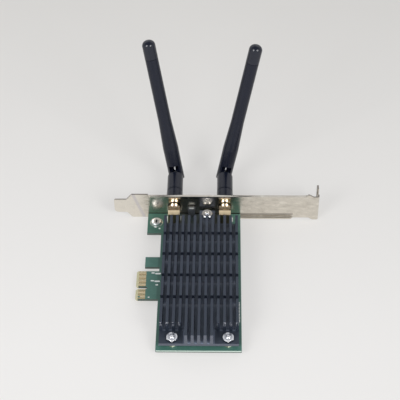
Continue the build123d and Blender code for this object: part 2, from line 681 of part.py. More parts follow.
# Antenna jacks and antennas, built alike on both sides with their own rest angles
for side, jack_x in jack_places.items():
    jack_plane = Plane((jack_x, 0, jack_axis_z))
    jack_axis = Axis(jack_plane.origin, (0, 1, 0))
    swivel_angle, tilt_angle = (radians(angle) for angle in antenna_angles[side])
    outward = Vector(0, 1, 0)
    upright = Vector(sin(swivel_angle), 0, cos(swivel_angle))
    pin_line = Vector(cos(swivel_angle), 0, -sin(swivel_angle))
    whip_line = outward * cos(tilt_angle) + upright * sin(tilt_angle)
    hinge = Vector(jack_x, hinge_y, jack_axis_z)
    hinge_plane = Plane(hinge, x_dir=outward, z_dir=pin_line)
    whip_plane = Plane(hinge, x_dir=pin_line, z_dir=pin_line.cross(whip_line))
    whip_side_plane = Plane(hinge, x_dir=whip_line.cross(pin_line), z_dir=pin_line)
    whip_axis = Axis(hinge, whip_line)

    # Jack body: block with a sloping back on a foot with four legs, and the barrel through the bracket
    with BuildPart() as jack_body:
        with BuildSketch(Plane.YZ.offset(jack_x)):
            with BuildLine():
                Polyline(
                    (jack_block_front_y, 0),
                    (jack_foot_rear_y, 0),
                    (jack_foot_rear_y, jack_foot_height),
                    (jack_block_rear_y, jack_foot_height),
                    (jack_block_rear_y, jack_block_top),
                    (jack_block_front_y + jack_slope_run, jack_block_top),
                    (jack_block_front_y, jack_block_top - jack_slope_drop),
                    close=True,
                )
            make_face()
        extrude(amount=jack_block_width / 2, both=True)
        for leg_y in leg_rows_y:
            with Locations(
                (jack_x - leg_offset_x, leg_y, leg_low_z / 2),
                (jack_x + leg_offset_x, leg_y, leg_low_z / 2),
            ):
                Box(jack_leg, jack_leg, -leg_low_z)
        with BuildSketch(jack_plane):
            with BuildLine():
                Polyline(
                    (0, jack_block_rear_y),
                    (barrel_radius, jack_block_rear_y),
                    (barrel_radius, barrel_end_y - barrel_chamfer),
                    (barrel_radius - barrel_chamfer, barrel_end_y),
                    (0, barrel_end_y),
                    close=True,
                )
            make_face()
        revolve(axis=jack_axis)
        with BuildSketch(jack_plane):
            span(0, barrel_bore, barrel_bore_floor_y, barrel_end_y)
        revolve(axis=jack_axis, mode=Mode.SUBTRACT)
    save(jack_body, f"{side}_jack_body")

    with BuildPart() as jack_insulator:
        with BuildSketch(jack_plane):
            span(centre_pin_radius, barrel_bore - insulator_fit, barrel_bore_floor_y, insulator_end_y)
        revolve(axis=jack_axis)
    save(jack_insulator, f"{side}_jack_insulator")

    with BuildPart() as jack_pin:
        with BuildSketch(jack_plane):
            span(0, centre_pin_radius - insulator_fit, barrel_bore_floor_y, centre_pin_end_y)
        revolve(axis=jack_axis)
    save(jack_pin, f"{side}_jack_pin")

    # Lock washer and nut outside the bracket
    with BuildPart() as jack_washer:
        with BuildSketch(jack_plane):
            span(barrel_radius + jack_thread_clearance, washer_radius, 0, washer_thick)
        revolve(axis=jack_axis)
    save(jack_washer, f"{side}_jack_washer")

    with BuildPart() as jack_nut:
        with BuildSketch(Plane.XZ.offset(-washer_thick)):
            with Locations((jack_x, jack_axis_z)):
                RegularPolygon(jack_nut_flats / 2, 6, major_radius=False)
                Circle(barrel_radius + jack_thread_clearance, mode=Mode.SUBTRACT)
        extrude(amount=-jack_nut_height)
    save(jack_nut, f"{side}_jack_nut")

    # Screw coupling: black sleeve with an end wall, and the threaded insert inside it
    with BuildPart() as collar:
        with BuildSketch(jack_plane):
            with BuildLine():
                Polyline(
                    (0, collar_near_y),
                    (collar_rim_radius, collar_near_y),
                    (collar_radius, collar_end_y),
                    (0, collar_end_y),
                    close=True,
                )
            make_face()
        revolve(axis=jack_axis)
        chamfer(collar.edges().filter_by(GeomType.CIRCLE), collar_edge)
        with BuildSketch(jack_plane):
            span(0, coupling_radius, collar_near_y, collar_end_y - collar_wall)
            span(0, stem_radius + stem_clearance, collar_near_y, collar_end_y)
        revolve(axis=jack_axis, mode=Mode.SUBTRACT)
    save(collar, f"{side}_collar")

    with BuildPart() as coupling_nut:
        with BuildSketch(jack_plane):
            inner_radius = barrel_radius + jack_thread_clearance
            span(inner_radius, coupling_radius - coupling_fit, collar_near_y, coupling_end_y)
        revolve(axis=jack_axis)
    save(coupling_nut, f"{side}_coupling_nut")

    # Swivel: plain base, captive stem and the two hinge lugs with room for the feed between them
    with BuildPart() as swivel:
        with BuildSketch(jack_plane):
            span(0, swivel_radius, swivel_start_y, swivel_end_y)
        revolve(axis=jack_axis)
        fillet(swivel.edges().filter_by(GeomType.CIRCLE).sort_by(Axis.Y)[-1], swivel_edge)
        with BuildSketch(jack_plane):
            span(0, stem_radius, stem_flange_start_y, swivel_start_y)
            span(0, stem_flange_radius, stem_flange_start_y, stem_flange_end_y)
        revolve(axis=jack_axis)
        with BuildSketch(hinge_plane):
            span(swivel_end_y - hinge_y - lug_radius, 0, -lug_radius, lug_radius)
            Circle(lug_radius)
        extrude(amount=lugs_width / 2, both=True)
        with BuildSketch(hinge_plane):
            Circle(hinge_pin_radius + hinge_pin_clearance)
        extrude(amount=lugs_width, both=True, mode=Mode.SUBTRACT)
        with BuildSketch(hinge_plane):
            span(swivel_end_y - hinge_y, lug_radius, -lug_radius, lug_radius)
        extrude(amount=lugs_gap / 2, both=True, mode=Mode.SUBTRACT)
    save(swivel, f"{side}_swivel")

    with BuildPart() as plug_contact:
        with BuildSketch(jack_plane):
            span(socket_bore, socket_radius, socket_start_y, stem_flange_start_y)
        revolve(axis=jack_axis)
    save(plug_contact, f"{side}_plug_contact")

    # Whip: hollow rod that swells above its fork and narrows to a neck; the fork straddles the lugs
    with BuildPart() as whip:
        with BuildSketch(whip_plane):
            with BuildLine():
                Polyline(
                    (0, -whip_root_radius),
                    (whip_root_radius, -whip_root_radius),
                    (whip_root_radius, bore_start),
                    (whip_swell_radius, whip_swell_height),
                    (whip_neck_radius, whip_neck_height),
                    (whip_top_radius, whip_joint),
                    (0, whip_joint),
                    close=True,
                )
            make_face()
        revolve(axis=whip_axis)
        with BuildSketch(whip_side_plane):
            Circle(whip_root_radius)
            span(-whip_swell_radius, whip_swell_radius, bore_start, whip_length)
            span(-whip_root_radius, whip_root_radius, 0, bore_start)
        extrude(amount=whip_swell_radius, both=True, mode=Mode.INTERSECT)
        with BuildSketch(whip_plane):
            span(-fork_gap / 2, fork_gap / 2, -whip_root_radius, fork_top)
        extrude(amount=whip_root_radius, both=True, mode=Mode.SUBTRACT)
        with BuildSketch(whip_side_plane):
            Circle(hinge_pin_radius + hinge_pin_fit)
        extrude(amount=whip_root_radius, both=True, mode=Mode.SUBTRACT)
        with BuildSketch(whip_plane):
            span(0, whip_bore, bore_start, whip_joint)
            span(0, feed_radius + feed_clearance, fork_top, bore_start)
        revolve(axis=whip_axis, mode=Mode.SUBTRACT)
    save(whip, f"{side}_whip")

    with BuildPart() as hinge_pin:
        with BuildSketch(whip_side_plane):
            Circle(hinge_pin_radius)
        extrude(amount=whip_root_radius - hinge_pin_inset, both=True)
    save(hinge_pin, f"{side}_hinge_pin")

    # Tip cap: a little wider than the rod, rounded at its end, plugged into the bore
    with BuildPart() as tip_cap:
        with BuildSketch(whip_plane):
            span(0, cap_radius, whip_joint, whip_length)
        revolve(axis=whip_axis)
        cap_rims = tip_cap.edges().filter_by(GeomType.CIRCLE).sort_by(whip_axis)
        chamfer(cap_rims[0], cap_edge)
        fillet(tip_cap.edges().filter_by(GeomType.CIRCLE).sort_by(whip_axis)[-1], cap_round)
        with BuildSketch(whip_plane):
            span(0, whip_bore - cap_fit, whip_joint - cap_spigot, whip_joint)
        revolve(axis=whip_axis)
    save(tip_cap, f"{side}_tip_cap")

    # Radiator: coaxial feed that enters through the fork floor, and the metal sleeve round it
    with BuildPart() as radiator:
        with BuildSketch(whip_plane):
            span(0, feed_radius, feed_start, sleeve_end)
            span(0, sleeve_radius, bore_start, bore_start + sleeve_wall)
            span(sleeve_radius - sleeve_wall, sleeve_radius, bore_start, sleeve_end)
        revolve(axis=whip_axis)
    save(radiator, f"{side}_radiator")
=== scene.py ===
import bmesh
import bpy
import json
import math
from mathutils import Matrix, Vector


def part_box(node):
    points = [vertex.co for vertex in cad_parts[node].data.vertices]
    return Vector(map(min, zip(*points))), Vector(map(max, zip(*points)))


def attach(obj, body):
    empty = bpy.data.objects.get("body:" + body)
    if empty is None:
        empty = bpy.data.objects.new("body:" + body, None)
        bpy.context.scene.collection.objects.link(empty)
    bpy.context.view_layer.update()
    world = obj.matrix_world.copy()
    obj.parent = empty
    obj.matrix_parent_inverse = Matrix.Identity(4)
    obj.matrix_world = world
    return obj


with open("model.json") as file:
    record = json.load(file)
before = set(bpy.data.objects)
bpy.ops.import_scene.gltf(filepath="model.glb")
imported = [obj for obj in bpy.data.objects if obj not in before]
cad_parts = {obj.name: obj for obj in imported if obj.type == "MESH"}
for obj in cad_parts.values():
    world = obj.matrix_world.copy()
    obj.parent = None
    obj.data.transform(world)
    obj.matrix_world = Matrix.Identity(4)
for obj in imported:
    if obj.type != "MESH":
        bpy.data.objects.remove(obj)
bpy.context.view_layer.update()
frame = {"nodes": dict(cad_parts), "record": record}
nodes = frame["nodes"]
MM = 0.001

# Camera, from the bracket and board edges in the photograph (400 by 400 pixels)
CAMERA_PLACE = Vector((12.395, -488.463, 507.022)) * MM
CAMERA_ELEVATION = math.radians(45.474)
CAMERA_AZIMUTH = math.radians(-1.420)
CAMERA_ROLL = math.radians(-0.764)
IMAGE_WIDTH = 400.0
FOCAL_PIXELS = 1190.88
SENSOR_WIDTH = 36.0

# The card rests on the bracket's lower left corner, its tab and the near left screw head
FLOOR_POINT = Vector((-39.7, 0.0, -3.25)) * MM
FLOOR_NORMAL = Vector((0.0156, 0.00241, 1.0)).normalized()
FLOOR_SIZE = 6.0

LAMP_SIZE = 560.0
LAMP_WATTS = 6.4
LAMP_TARGET = (0.0, -40.0, 0.0)
PANE_DIRECTION = (0.47, 0.70, 0.54)


def limits(name):
    """A node's lowest and highest corners in millimetres."""
    low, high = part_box(name)
    return low / MM, high / MM


def middle(name):
    """The x and y of a node's middle in millimetres."""
    low, high = limits(name)
    return (low.x + high.x) / 2, (low.y + high.y) / 2


board_low, board_high = limits("circuit_board")
sink_low, sink_high = limits("heatsink")
barrel_low, barrel_high = limits("right_jack_pin")
jack_x = (barrel_low.x + barrel_high.x) / 2
jack_z = (barrel_low.z + barrel_high.z) / 2
NEAR_CORNER_DEPTH = 8.7
LONG_FINS_HALF = 8.5
HOLE_SHADE_RADIUS = 3.9
TONE_CREST = -50.5
TONE_PERIOD = 2.93
LIP_START = -30.1
LIP_END = 62.0
BOTTOM_LIP_END = 55.0
CREASE_Z = -0.4
LOWER_FOLD_Z = -1.85
SHEEN_END = (-31.0, -36.0)
REFLECTION_BAND_X = -33.7
REFLECTION_BAND_SLOPE = 0.333
JACK_SHADE_X = (18.7, 18.1)
JACK_SHADE_Y = (-16.0, -12.0)
SINK_SHADE_FAR = (-14.0, -18.0)
SINK_SHADE_NEAR = (-99.0, -96.0)
FAR_FLOOR_FADE = (-15.0, -18.0)
EAR_X = (-18.8, -19.8)
EAR_Y = (-20.0, -18.0)
LEG_INSET = 0.9
FOOT_REAR_Y = -1.6
INK = 0.03
NUT_REACH = 3.32
FAR_NUT = (4.55, -6.3)
ANTENNA_BLACKS = ((0.004, 0.006, 0.014), (0.007, 0.009, 0.019))
HINGE_Y = 28.35
FORK_HALF_GAP = 2.79
FORK_FLOOR = 5.19
FORK_RADIUS = 4.48
LUG_CLEARANCE_RADIUS = 2.85
ANTENNAS = {
    "left": (-jack_x, math.radians(-10.95), math.radians(71.0)),
    "right": (jack_x, math.radians(12.6), math.radians(75.0)),
}


# Node helpers

def shader(name, **values):
    """A new material, its tree and its surface shader, with plain values set on the sockets."""
    material = bpy.data.materials.new(name)
    material.use_nodes = True
    tree = material.node_tree
    surface = tree.nodes["Principled BSDF"]
    for socket, value in values.items():
        surface.inputs[socket.replace("_", " ")].default_value = value
    return material, tree, surface


def node(tree, kind, inputs=None, **settings):
    """A node of the tree with its settings made and its inputs set or linked."""
    made = tree.nodes.new("ShaderNode" + kind)
    for key, value in settings.items():
        setattr(made, key, value)
    for key, value in (inputs or {}).items():
        if isinstance(value, bpy.types.NodeSocket):
            tree.links.new(value, made.inputs[key])
        else:
            made.inputs[key].default_value = value
    return made


def place(tree, stretch=(1.0, 1.0, 1.0)):
    """The piece's own coordinates in millimetres, with an optional stretch."""
    coords = node(tree, "TexCoord")
    scale = tuple(value / MM for value in stretch)
    return node(tree, "Mapping", {"Vector": coords.outputs["Object"], "Scale": scale}).outputs[0]


def split(tree, vector):
    """The three parts of a vector."""
    return node(tree, "SeparateXYZ", {0: vector}).outputs


def facing(tree):
    """The parts of the surface's direction in the piece's own frame."""
    return split(tree, node(tree, "TexCoord").outputs["Normal"])


def noise(tree, where, scale, detail=3.0, rough=0.55):
    """Noise of that many cells to the millimetre."""
    values = {"Vector": where, "Scale": scale, "Detail": detail, "Roughness": rough}
    return node(tree, "TexNoise", values).outputs["Fac"]


def spread(tree, value, low, high, new_low=0.0, new_high=1.0):
    """One range of a value mapped on another."""
    values = {0: value, 1: low, 2: high, 3: new_low, 4: new_high}
    return node(tree, "MapRange", values).outputs[0]


def math_node(tree, operation, first, second=0.0):
    """The result of an operation on one or two values."""
    return node(tree, "Math", {0: first, 1: second}, operation=operation).outputs[0]


def times(tree, first, second):
    return math_node(tree, "MULTIPLY", first, second)


def plus(tree, first, second):
    return math_node(tree, "ADD", first, second)


def minus(tree, first, second):
    return math_node(tree, "SUBTRACT", first, second)


def most(tree, first, second):
    return math_node(tree, "MAXIMUM", first, second)


def least(tree, first, second):
    return math_node(tree, "MINIMUM", first, second)


def past(tree, value, limit):
    """1 where the value is greater than the limit, and otherwise 0."""
    return math_node(tree, "GREATER_THAN", value, limit)


def under(tree, value, limit):
    """1 where the value is less than the limit, and otherwise 0."""
    return math_node(tree, "LESS_THAN", value, limit)


def size(tree, value):
    """The value without its sign."""
    return math_node(tree, "ABSOLUTE", value)


def square(tree, value):
    return math_node(tree, "POWER", value, 2.0)


def square_sum(tree, first, second):
    """The square of the distance that two offsets make."""
    return plus(tree, square(tree, first), square(tree, second))


def root(tree, value):
    return math_node(tree, "SQRT", value)


def cosine(tree, value):
    return math_node(tree, "COSINE", value)


def blend_colour(tree, factor, first, second):
    """First colour where the factor is 0, second where it is 1."""
    made = node(tree, "Mix", data_type="RGBA")
    for index, value in ((0, factor), (6, first), (7, second)):
        if isinstance(value, bpy.types.NodeSocket):
            tree.links.new(value, made.inputs[index])
        else:
            made.inputs[index].default_value = (*value, 1.0) if index else value
    return made.outputs[2]


def bump(tree, surface, height, distance, strength=1.0):
    """Relief of the given depth in metres on the surface."""
    values = {"Height": height, "Distance": distance, "Strength": strength}
    made = node(tree, "Bump", values)
    tree.links.new(made.outputs[0], surface.inputs["Normal"])


def link(tree, source, surface, socket):
    tree.links.new(source, surface.inputs[socket])


# Materials

def metal(name, dark, light, rough_low, rough_high, grain=(1.0, 1.0, 1.0), cells=1.2, depth=2e-6):
    """Bare or plated metal: colour, gloss and fine relief vary with a stretched grain."""
    material, tree, surface = shader(name, Metallic=1.0)
    where = place(tree, grain)
    cloud = noise(tree, where, cells)
    fine = noise(tree, where, cells * 9)
    link(tree, blend_colour(tree, cloud, dark, light), surface, "Base Color")
    link(tree, spread(tree, fine, 0.3, 0.7, rough_low, rough_high), surface, "Roughness")
    bump(tree, surface, fine, depth)
    return material


def plastic(name, dark, light, rough_low, rough_high, cells=6.0, depth=6e-6, gloss=0.5):
    """Moulded plastic with a fine spark-eroded grain."""
    material, tree, surface = shader(name, Specular_IOR_Level=gloss)
    where = place(tree)
    cloud = noise(tree, where, 0.35)
    grain = noise(tree, where, cells, 2.0)
    link(tree, blend_colour(tree, cloud, dark, light), surface, "Base Color")
    link(tree, spread(tree, grain, 0.3, 0.7, rough_low, rough_high), surface, "Roughness")
    bump(tree, surface, grain, depth)
    return material


def bracket_material():
    """Nickel-plated steel sheet: rolling streaks, blotches, specks and darker sheared edges; painted reflection
    paler at the left end and in a diagonal band, and painted shade along the lower folds and round the jack
    holes.
    """
    material, tree, surface = shader("nickel_plate", Metallic=1.0)
    where = place(tree)
    along, _, height = split(tree, where)
    normal_x, normal_y, normal_z = facing(tree)
    streaks = noise(tree, place(tree, (0.15, 1.0, 2.5)), 1.0)
    blotches = noise(tree, place(tree, (0.45, 1.0, 1.0)), 0.5, 4.0, 0.6)
    specks = node(tree, "TexVoronoi", {"Vector": where, "Scale": 0.7}).outputs["Distance"]
    colour = blend_colour(tree, streaks, (0.66, 0.62, 0.545), (0.76, 0.715, 0.64))
    dull = spread(tree, blotches, 0.52, 0.70)
    colour = blend_colour(tree, times(tree, dull, 0.6), colour, (0.53, 0.49, 0.425))
    # Paler towards the left end: painted reflection. Paler in random blotches as well.
    end_sheen_and_pale_blotches = most(tree, spread(tree, along, *SHEEN_END), spread(tree, blotches, 0.45, 0.33))
    colour = blend_colour(tree, times(tree, end_sheen_and_pale_blotches, 0.55), colour, (0.90, 0.86, 0.78))
    # A diagonal lilac band: painted reflection of a shadow on the floor.
    slant = plus(tree, minus(tree, along, REFLECTION_BAND_X), times(tree, height, REFLECTION_BAND_SLOPE))
    painted_reflection_band = spread(tree, size(tree, slant), 1.4, 0.5, 0.0, 0.6)
    colour = blend_colour(tree, painted_reflection_band, colour, (0.62, 0.59, 0.63))
    spot = spread(tree, specks, 0.07, 0.13, 0.5, 0.0)
    colour = blend_colour(tree, spot, colour, (0.30, 0.27, 0.22))
    past_lips = most(tree, under(tree, along, LIP_START), past(tree, along, LIP_END))
    upward = past(tree, size(tree, normal_z), 0.8)
    endward = under(tree, normal_x, -0.8)
    sheared = times(tree, past_lips, most(tree, upward, endward))
    # Darker on the bottom lip's upward faces and along the crease above its fold: painted shade.
    painted_lip_shade = times(tree, times(tree, under(tree, height, LOWER_FOLD_Z), past(tree, normal_z, 0.3)), 0.6)
    painted_crease_shade = size(tree, minus(tree, height, CREASE_Z))
    painted_crease_shade = times(tree, spread(tree, painted_crease_shade, 0.85, 0.6), under(tree, normal_y, -0.8))
    painted_crease_shade = times(tree, painted_crease_shade, past(tree, along, board_high.x))
    painted_crease_shade = times(tree, painted_crease_shade, under(tree, along, BOTTOM_LIP_END))
    painted_lip_shade = most(tree, painted_lip_shade, times(tree, painted_crease_shade, 0.65))
    dark_edges_and_painted_shade = most(tree, sheared, painted_lip_shade)
    # A dark ring round each jack hole: painted shade of the gap round the barrel.
    sideways = minus(tree, size(tree, along), jack_x)
    reach = root(tree, square_sum(tree, sideways, minus(tree, height, jack_z)))
    painted_hole_shade = spread(tree, reach, HOLE_SHADE_RADIUS + 0.1, HOLE_SHADE_RADIUS - 0.1)
    colour = blend_colour(tree, times(tree, dark_edges_and_painted_shade, 0.75), colour, (0.16, 0.14, 0.12))
    colour = blend_colour(tree, painted_hole_shade, colour, (0.05, 0.04, 0.03))
    link(tree, colour, surface, "Base Color")
    gloss = spread(tree, streaks, 0.3, 0.7, 0.16, 0.22)
    worn = plus(tree, times(tree, dull, 0.08), times(tree, dark_edges_and_painted_shade, 0.25))
    link(tree, plus(tree, gloss, worn), surface, "Roughness")
    ripple = plus(tree, streaks, times(tree, blotches, 2.0))
    bump(tree, surface, ripple, 22e-6)
    return material


def board_material():
    """Green solder mask over copper, cut laminate on the edges, bare laminate on the connector's bevel; painted
    shade round the jacks and beside the heatsink, and painted highlights along the near and right edges.
    """
    bevel_end = limits("edge_contacts_top")[0].x
    material, tree, surface = shader("solder_mask", IOR=1.5)
    where = place(tree)
    along, depth, height = split(tree, where)
    cloud = noise(tree, where, 0.12)
    weave = noise(tree, where, 1.6, 2.0)
    tracks = node(tree, "TexBrick", {
        "Vector": where, "Scale": 1.0, "Mortar Size": 0.16, "Mortar Smooth": 0.2,
        "Brick Width": 5.2, "Row Height": 1.1,
    }).outputs["Fac"]
    copper = noise(tree, where, 0.3, 1.0)
    shown = times(tree, tracks, spread(tree, copper, 0.48, 0.56))
    mask = blend_colour(tree, cloud, (0.054, 0.150, 0.120), (0.078, 0.194, 0.160))
    mask = blend_colour(tree, times(tree, shown, 0.35), mask, (0.115, 0.240, 0.200))
    shade = times(tree, spread(tree, depth, *JACK_SHADE_Y), spread(tree, size(tree, along), *JACK_SHADE_X))
    mask = blend_colour(tree, times(tree, shade, 0.85), mask, (0.052, 0.058, 0.066))
    # Darker strips beside the heatsink: painted shade.
    beside = times(tree, spread(tree, depth, *SINK_SHADE_FAR), spread(tree, depth, *SINK_SHADE_NEAR, 0.35, 1.0))
    beside = times(tree, beside, spread(tree, along, sink_low.x - 3.2, sink_low.x - 2.4))
    mask = blend_colour(tree, times(tree, beside, 0.6), mask, (0.034, 0.088, 0.072))
    ear = times(tree, spread(tree, along, *EAR_X), spread(tree, depth, *EAR_Y))
    mask = blend_colour(tree, times(tree, ear, 0.5), mask, (0.036, 0.124, 0.082))
    cut = blend_colour(tree, weave, (0.070, 0.095, 0.080), (0.115, 0.145, 0.125))
    # The upper part of the near edge is paler: partly pale laminate, partly painted highlight.
    near_edge = spread(tree, depth, board_low.y + 0.1, board_low.y + 0.05)
    rim = times(tree, near_edge, spread(tree, height, -0.95, -0.70))
    cut = blend_colour(tree, rim, cut, (0.52, 0.62, 0.56))
    bare = blend_colour(tree, weave, (0.40, 0.39, 0.23), (0.56, 0.52, 0.35))
    # A pale line along the right edge: partly bare laminate rim, partly painted highlight.
    margin = spread(tree, along, board_high.x - 0.45, board_high.x - 0.30)
    mask = blend_colour(tree, times(tree, margin, 0.22), mask, (0.36, 0.52, 0.45))
    side = under(tree, size(tree, facing(tree)[2]), 0.5)
    bevel = under(tree, along, bevel_end + 0.02)
    colour = blend_colour(tree, side, mask, cut)
    link(tree, blend_colour(tree, bevel, colour, bare), surface, "Base Color")
    matt = times(tree, most(tree, side, bevel), 0.25)
    gloss = spread(tree, weave, 0.3, 0.7, 0.30, 0.42)
    link(tree, plus(tree, gloss, matt), surface, "Roughness")
    relief = plus(tree, times(tree, weave, 0.3), shown)
    bump(tree, surface, relief, 12e-6)
    return material


def heatsink_material():
    """Black anodised extrusion: die lines, painted sheen in the gaps and on the groove floors, a paler sawn near
    end with painted reflection, dark grooves, chipped fin ends.
    """
    material, tree, surface = shader("black_anodising", IOR=1.5, Specular_IOR_Level=0.75)
    base_top = limits("heatsink_nuts")[0].z
    along, depth, height = split(tree, place(tree))
    normal_y, normal_z = facing(tree)[1:]
    lines = noise(tree, place(tree, (9.0, 0.12, 9.0)), 0.6, 2.0)
    marks = noise(tree, place(tree, (2.0, 1.0, 9.0)), 0.8, 2.0)
    chips = noise(tree, place(tree, (1.0, 1.0, 0.5)), 0.9, 3.0)
    cloud = noise(tree, place(tree), 0.25)
    colour = blend_colour(tree, cloud, (0.010, 0.015, 0.026), (0.016, 0.022, 0.035))
    colour = blend_colour(tree, times(tree, lines, 0.35), colour, (0.044, 0.052, 0.070))
    off_centre = size(tree, minus(tree, along, (sink_low.x + sink_high.x) / 2))
    corner_y = sink_low.y + NEAR_CORNER_DEPTH
    between_fins = most(tree, under(tree, off_centre, LONG_FINS_HALF), past(tree, depth, corner_y))
    # Paler, bluer between the fins: painted sheen.
    painted_gap_sheen = times(tree, under(tree, height, sink_high.z - 0.4), between_fins)
    painted_gap_sheen = times(tree, painted_gap_sheen, past(tree, normal_y, -0.6))
    painted_gap_sheen = times(tree, painted_gap_sheen, under(tree, off_centre, (sink_high.x - sink_low.x) / 2 - 0.3))
    colour = blend_colour(tree, times(tree, painted_gap_sheen, 0.8), colour, (0.095, 0.112, 0.155))
    low_part = under(tree, height, base_top + 0.2)
    # Paler still on the gap floors, fading towards the far end: painted sheen.
    painted_gap_floor_sheen = times(tree, painted_gap_sheen, times(tree, past(tree, normal_z, 0.8), low_part))
    inner = most(tree, under(tree, off_centre, LONG_FINS_HALF - 1.2), past(tree, depth, corner_y + 2.0))
    inner = times(tree, inner, spread(tree, depth, *FAR_FLOOR_FADE))
    colour = blend_colour(tree, times(tree, painted_gap_floor_sheen, inner), colour, (0.225, 0.262, 0.345))
    # Paler, bluer on the groove floors: painted sheen.
    milled = times(tree, under(tree, height, base_top - 0.1), past(tree, normal_z, 0.8))
    colour = blend_colour(tree, milled, colour, (0.300, 0.330, 0.410))
    cut = under(tree, normal_y, -0.6)
    # The sawn near end is paler: saw marks, with painted reflection of the lit floor in front.
    sawn = times(tree, cut, under(tree, depth, sink_low.y + 0.3))
    sawn_colour = blend_colour(tree, marks, (0.056, 0.063, 0.082), (0.094, 0.102, 0.130))
    colour = blend_colour(tree, sawn, colour, sawn_colour)
    near_ends = under(tree, depth, corner_y + 0.3)
    fin_crests = spread(tree, height, sink_high.z - 3.4, sink_high.z - 0.6)
    chipped = times(tree, times(tree, cut, near_ends), fin_crests)
    chipped = times(tree, chipped, spread(tree, chips, 0.50, 0.60))
    chipped = times(tree, chipped, minus(tree, 1.0, sawn))
    grooved = times(tree, cut, past(tree, depth, corner_y + 1.0))
    colour = blend_colour(tree, grooved, colour, (0.010, 0.013, 0.021))
    link(tree, blend_colour(tree, chipped, colour, (0.36, 0.37, 0.40)), surface, "Base Color")
    surface.inputs["Specular Tint"].default_value = (0.80, 0.88, 1.0, 1.0)
    gloss = plus(tree, spread(tree, lines, 0.3, 0.7, 0.24, 0.32), times(tree, low_part, 0.2))
    link(tree, gloss, surface, "Roughness")
    bump(tree, surface, lines, 5e-6)
    return material


def dome(tree, surface, places, fall):
    """Relief that falls away with the square of the distance from the nearest place."""
    along, depth = split(tree, place(tree))[:2]
    nearest = None
    for x, y in places:
        reach = square_sum(tree, minus(tree, along, x), minus(tree, depth, y))
        nearest = reach if nearest is None else least(tree, nearest, reach)
    bump(tree, surface, times(tree, nearest, -fall), 1.0)


def stud_material():
    """Zinc-plated screws with domed ends."""
    material, tree, surface = shader("stud_zinc", Metallic=1.0)
    cloud = noise(tree, place(tree), 1.2)
    link(tree, blend_colour(tree, cloud, (0.88, 0.89, 0.92), (0.97, 0.98, 1.0)), surface, "Base Color")
    link(tree, spread(tree, cloud, 0.3, 0.7, 0.14, 0.24), surface, "Roughness")
    dome(tree, surface, nut_places, 1.6e-4)
    return material


def screw_material():
    """Zinc-plated pan head, with painted shade inside the cross recess."""
    material, tree, surface = shader("pan_head_zinc", Metallic=1.0)
    high = limits("bracket_screw")[1]
    where = place(tree)
    height = split(tree, where)[2]
    cloud = noise(tree, where, 1.2)
    colour = blend_colour(tree, cloud, (0.86, 0.86, 0.86), (0.96, 0.96, 0.97))
    flat = past(tree, facing(tree)[2], 0.9)
    # Painted shade inside the cross recess.
    painted_recess_shade = times(tree, flat, spread(tree, height, high.z - 0.25, high.z - 0.35))
    link(tree, blend_colour(tree, painted_recess_shade, colour, (0.05, 0.05, 0.055)), surface, "Base Color")
    link(tree, spread(tree, cloud, 0.3, 0.7, 0.26, 0.36), surface, "Roughness")
    dome(tree, surface, [middle("bracket_screw")], 0.5e-4)
    return material


def brass_material():
    """Turned and milled brass, with a painted greyer sheen on top and duller on the block's sloped side."""
    material, tree, surface = shader("bright_brass", Metallic=1.0)
    where = place(tree)
    cloud = noise(tree, where, 1.2)
    fine = noise(tree, place(tree, (3.0, 0.5, 0.5)), 2.5)
    colour = blend_colour(tree, cloud, (0.62, 0.505, 0.33), (0.74, 0.615, 0.42))
    # Greyer on the upward faces: painted sheen.
    upward = spread(tree, facing(tree)[2], 0.8, 0.95)
    link(tree, blend_colour(tree, upward, colour, (0.80, 0.70, 0.57)), surface, "Base Color")
    slope = spread(tree, facing(tree)[1], -0.3, -0.5, 0.0, 0.24)
    link(tree, plus(tree, slope, spread(tree, fine, 0.3, 0.7, 0.10, 0.18)), surface, "Roughness")
    bump(tree, surface, fine, 3e-6)
    return material


def nut_material():
    """Zinc-plated hexagon nuts: darker on the top face inside the bright rim, a painted dimmer reflection, and
    painted shade low on the sides.
    """
    material, tree, surface = shader("nut_zinc", Metallic=1.0)
    where = place(tree)
    along, depth, height = split(tree, where)
    cloud = noise(tree, where, 1.2)
    colour = blend_colour(tree, cloud, (0.86, 0.87, 0.90), (0.96, 0.97, 1.0))
    # Darker top face inside the rim: painted dimmer reflection.
    inside = None
    for x, y in nut_places:
        reach = root(tree, square_sum(tree, minus(tree, along, x), minus(tree, depth, y)))
        disc_mask = spread(tree, reach, 2.45, 2.25)
        inside = disc_mask if inside is None else most(tree, inside, disc_mask)
    inside = times(tree, inside, past(tree, facing(tree)[2], 0.9))
    colour = blend_colour(tree, inside, colour, (0.60, 0.61, 0.65))
    # Darker low on the sides: painted shade.
    painted_foot_shade = times(tree, spread(tree, height, nut_low.z + 1.0, nut_low.z + 0.7), under(tree, facing(tree)[2], 0.5))
    link(tree, blend_colour(tree, painted_foot_shade, colour, (0.10, 0.11, 0.13)), surface, "Base Color")
    link(tree, spread(tree, cloud, 0.3, 0.7, 0.14, 0.26), surface, "Roughness")
    bump(tree, surface, cloud, 4e-6)
    return material


def contact_material():
    """Hard gold on nickel, its tone changing from contact to contact."""
    material, tree, surface = shader("gold_plate", Metallic=1.0)
    where = place(tree)
    cloud = noise(tree, where, 1.2)
    phase = times(tree, minus(tree, split(tree, where)[1], TONE_CREST), 2 * math.pi / TONE_PERIOD)
    tone = spread(tree, cosine(tree, phase), -1.0, 1.0)
    tone = plus(tree, times(tree, tone, 0.8), times(tree, cloud, 0.2))
    link(tree, blend_colour(tree, tone, (0.58, 0.42, 0.22), (0.98, 0.77, 0.50)), surface, "Base Color")
    link(tree, spread(tree, cloud, 0.3, 0.7, 0.20, 0.32), surface, "Roughness")
    bump(tree, surface, cloud, 3e-6)
    return material


